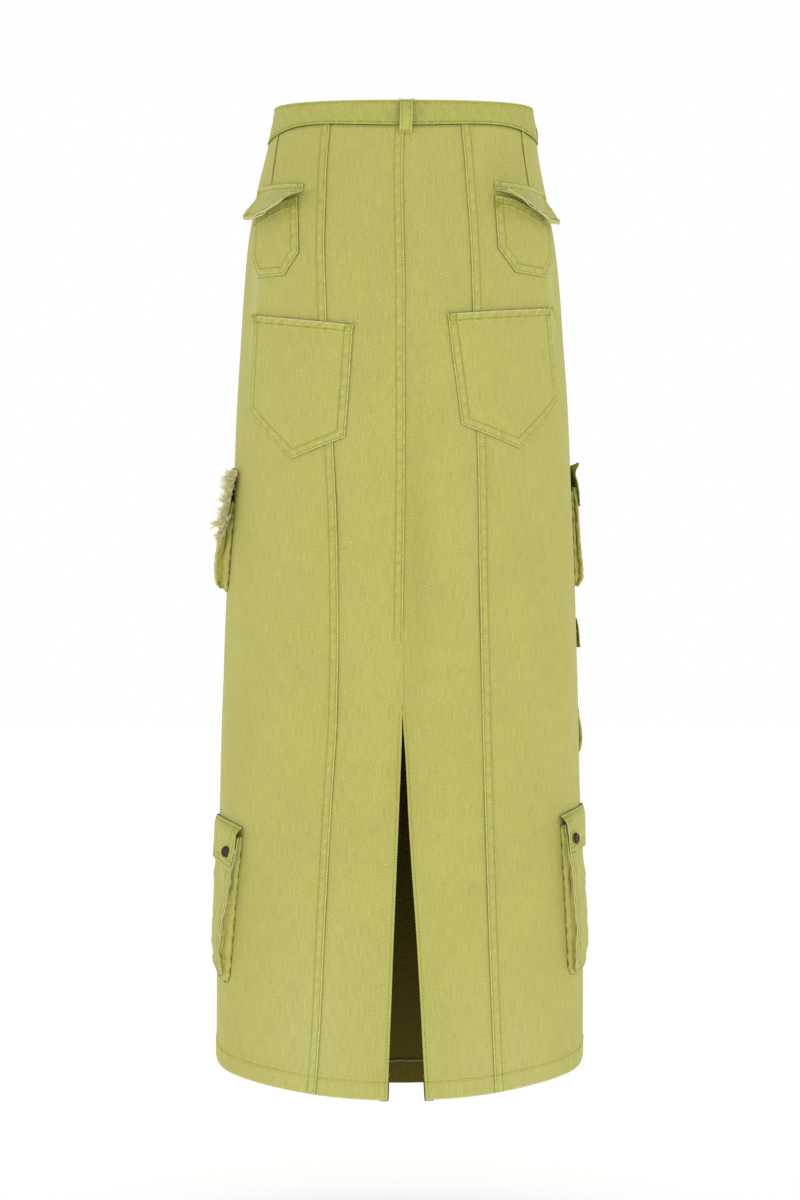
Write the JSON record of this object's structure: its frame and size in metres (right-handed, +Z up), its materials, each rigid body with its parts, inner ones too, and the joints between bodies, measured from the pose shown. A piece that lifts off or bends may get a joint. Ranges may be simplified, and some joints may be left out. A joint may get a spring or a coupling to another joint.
{
  "type": "cargo utility skirt",
  "caption": "Long washed denim skirt, hollow as worn, with a waistband and belt loops, seamed panels, flap and patch pockets, bellows cargo pockets and a back slit.",
  "frame": {"origin": "centre of the waist, level with the middle of the waistband at the centre back", "axes": "+Z up the skirt from its hem to its waist, +Y out of the wearer's front, +X to the wearer's right, which is the right as the back is seen"},
  "size_m": [0.395, 0.2456, 1.0454],
  "materials": {
    "denim": "matt washed twill",
    "metal": "antiqued dark brown"
  },
  "bodies": {
    "root": {"back_centre_left": "denim", "back_centre_right": "denim", "back_side_left": "denim", "back_side_right": "denim", "belt_loop_back": "denim", "belt_loop_front_left": "denim", "belt_loop_front_right": "denim", "belt_loop_side_left": "denim", "belt_loop_side_right": "denim", "fly_placket": "denim", "front_centre": "denim", "front_side_left": "denim", "front_side_right": "denim", "hip_flap_left": "denim", "hip_flap_right": "denim", "hip_pocket_left": "denim", "hip_pocket_right": "denim", "low_cargo_left_button_back": "metal", "low_cargo_left_button_front": "metal", "low_cargo_left_face": "denim", "low_cargo_left_flap": "denim", "low_cargo_left_gusset": "denim", "low_cargo_right_button_back": "metal", "low_cargo_right_button_front": "metal", "low_cargo_right_face": "denim", "low_cargo_right_flap": "denim", "low_cargo_right_gusset": "denim", "mid_cargo_left_face": "denim", "mid_cargo_left_flap": "denim", "mid_cargo_left_fray": "denim", "mid_cargo_left_gusset": "denim", "mid_cargo_right_face": "denim", "mid_cargo_right_flap": "denim", "mid_cargo_right_gusset": "denim", "patch_pocket_left": "denim", "patch_pocket_right": "denim", "thigh_cargo_right_face": "denim", "thigh_cargo_right_flap": "denim", "thigh_cargo_right_gusset": "denim", "waist_button": "metal", "waistband": "denim"}
  },
  "joints": []
}
